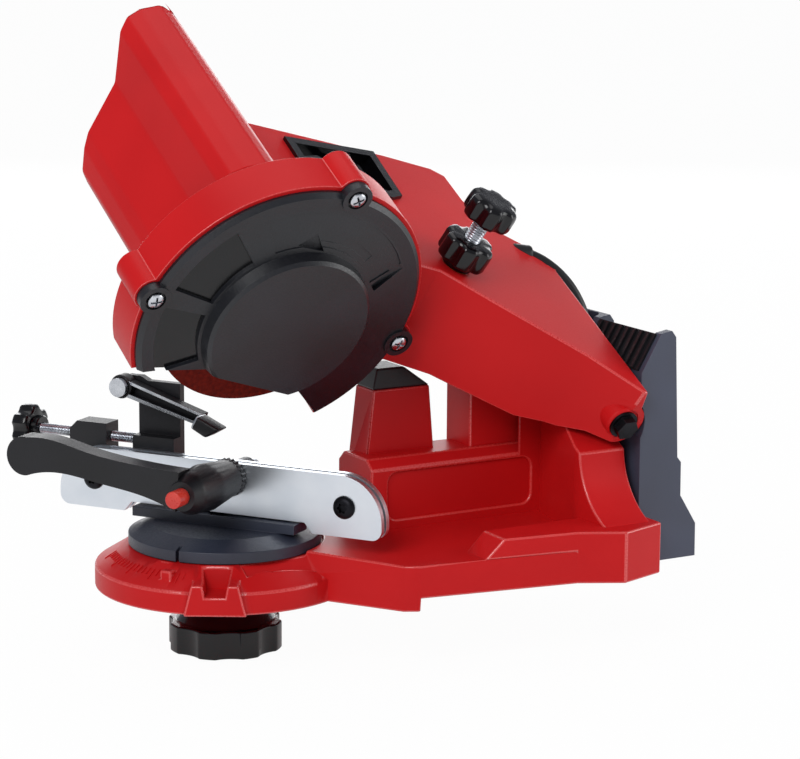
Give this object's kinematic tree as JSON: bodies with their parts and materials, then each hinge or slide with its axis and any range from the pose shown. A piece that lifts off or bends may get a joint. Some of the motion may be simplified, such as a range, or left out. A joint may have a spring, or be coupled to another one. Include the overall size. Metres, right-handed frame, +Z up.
{
  "type": "electric chainsaw sharpener",
  "caption": "Bench-mounted electric chainsaw sharpener: grinding head on a sprung arm, swivelling chain vice with clamp lever and chain stop, rear battery mount.",
  "frame": {"origin": "where the swivel axis of the vice meets the bench face (underside of the base)", "axes": "+Z up, +X from the vice towards the hinge and battery end, +Y away from the operator"},
  "size_m": [0.2931, 0.2171, 0.2918],
  "materials": {
    "red_plastic": "satin",
    "black_plastic": "fine grain",
    "grey_plastic": "fine grain",
    "zinc_steel": "zinc plated",
    "steel": "plain",
    "black_steel": "black oxide",
    "brass": "plain",
    "abrasive": "bonded grit",
    "board": "lacquered"
  },
  "bodies": {
    "base": {"base_housing": "red_plastic", "stop_pad": "black_plastic", "rear_housing": "grey_plastic", "vent_grille": "black_plastic", "battery_shoe": "black_plastic", "battery_contacts": "brass", "control_board": "board", "hinge_sleeve": "steel", "hinge_bolt": "black_steel", "hinge_nut": "steel", "return_spring": "steel"},
    "head": {"arm_housing": "red_plastic", "guard_back": "red_plastic", "guard_cover": "black_plastic", "guard_screws": "steel", "motor": "steel", "motor_mount": "black_plastic", "switch_bezel": "black_plastic", "switch_body": "black_plastic", "depth_insert": "brass", "power_lead": "black_plastic"},
    "spindle": {"spindle": "steel", "inner_flange": "steel", "grinding_disc": "abrasive", "outer_flange": "steel", "disc_nut": "steel"},
    "rocker": {"switch_rocker": "black_plastic"},
    "depth_screw": {"depth_screw": "steel"},
    "depth_knob": {"depth_knob": "black_plastic"},
    "depth_lock_nut": {"depth_lock_nut": "black_plastic"},
    "vice": {"turntable": "black_plastic", "swivel_bolt": "steel", "near_plate": "zinc_steel", "far_plate": "zinc_steel", "plate_spacers": "black_plastic", "plate_screws": "black_steel", "stop_guide": "black_plastic"},
    "lock_knob": {"lock_knob": "black_plastic", "lock_washer": "steel"},
    "clamp_lever": {"clamp_lever": "black_plastic", "clamp_collar": "black_plastic", "clamp_bolt": "steel"},
    "lever_button": {"lever_button": "red_plastic"},
    "stop_carriage": {"stop_bracket": "black_plastic", "stop_screw": "steel", "pawl_pin": "steel"},
    "stop_knob": {"stop_knob": "black_plastic"},
    "pawl": {"pawl": "black_plastic"}
  },
  "joints": [
    {"name": "head_swing", "type": "hinge", "parent": "base", "child": "head", "pos_m": [0.162, -0.023, 0.10265], "axis": [0, -0.866, -0.5], "range_deg": [0, 6.5], "stiffness_Nm_per_rad": 9, "springref_deg": -14.32},
    {"name": "disc_spin", "type": "hinge", "parent": "head", "child": "spindle", "pos_m": [0.004, -0.0385, 0.1295], "axis": [0, -0.866, -0.5], "continuous": true},
    {"name": "switch_rock", "type": "hinge", "parent": "head", "child": "rocker", "pos_m": [0.07423, 0.02395, 0.17533], "axis": [0, -0.866, -0.5], "range_deg": [-8, 8]},
    {"name": "depth_slide", "type": "slide", "parent": "head", "child": "depth_screw", "axis": [0.2857, -0.4792, 0.8299], "range_m": [0, 0.006]},
    {"name": "depth_turn", "type": "hinge", "parent": "depth_screw", "child": "depth_knob", "pos_m": [0.10887, -0.05048, 0.16405], "axis": [0.2857, -0.4792, 0.8299], "range_deg": [0, 1740]},
    {"name": "depth_lock_turn", "type": "hinge", "parent": "head", "child": "depth_lock_nut", "pos_m": [0.10173, -0.0385, 0.1433], "axis": [0.2857, -0.4792, 0.8299], "range_deg": [0, 270]},
    {"name": "vice_swivel", "type": "hinge", "parent": "base", "child": "vice", "pos_m": [0, 0, 0], "axis": [0, 0, 1], "range_deg": [-70, 0]},
    {"name": "lock_knob_turn", "type": "hinge", "parent": "base", "child": "lock_knob", "pos_m": [0, 0, -0.03], "axis": [0, 0, 1], "range_deg": [-270, 0]},
    {"name": "clamp_turn", "type": "hinge", "parent": "vice", "child": "clamp_lever", "pos_m": [0.00275, -0.00393, 0.0445], "axis": [-0.8192, -0.5736, 0], "range_deg": [0, 35]},
    {"name": "button_press", "type": "slide", "parent": "clamp_lever", "child": "lever_button", "axis": [0.8192, 0.5736, 0], "range_m": [0, 0.002], "stiffness_N_per_m": 250, "springref_m": -0.002},
    {"name": "stop_slide", "type": "slide", "parent": "vice", "child": "stop_carriage", "axis": [0.5736, -0.8192, 0], "range_m": [-0.006, 0.008]},
    {"name": "stop_turn", "type": "hinge", "parent": "stop_carriage", "child": "stop_knob", "pos_m": [-0.05449, 0.09613, 0.054], "axis": [0.5736, -0.8192, 0], "range_deg": [-2800, 3700]},
    {"name": "pawl_lift", "type": "hinge", "parent": "stop_carriage", "child": "pawl", "pos_m": [-0.0245, 0.05243, 0.0793], "axis": [-0.8192, -0.5736, 0], "range_deg": [0, 20]}
  ],
  "couplings": [
    {"joint": "depth_turn", "follows": "depth_slide", "rad_per_m": 5026.5},
    {"joint": "stop_turn", "follows": "stop_slide", "rad_per_m": 7854}
  ]
}
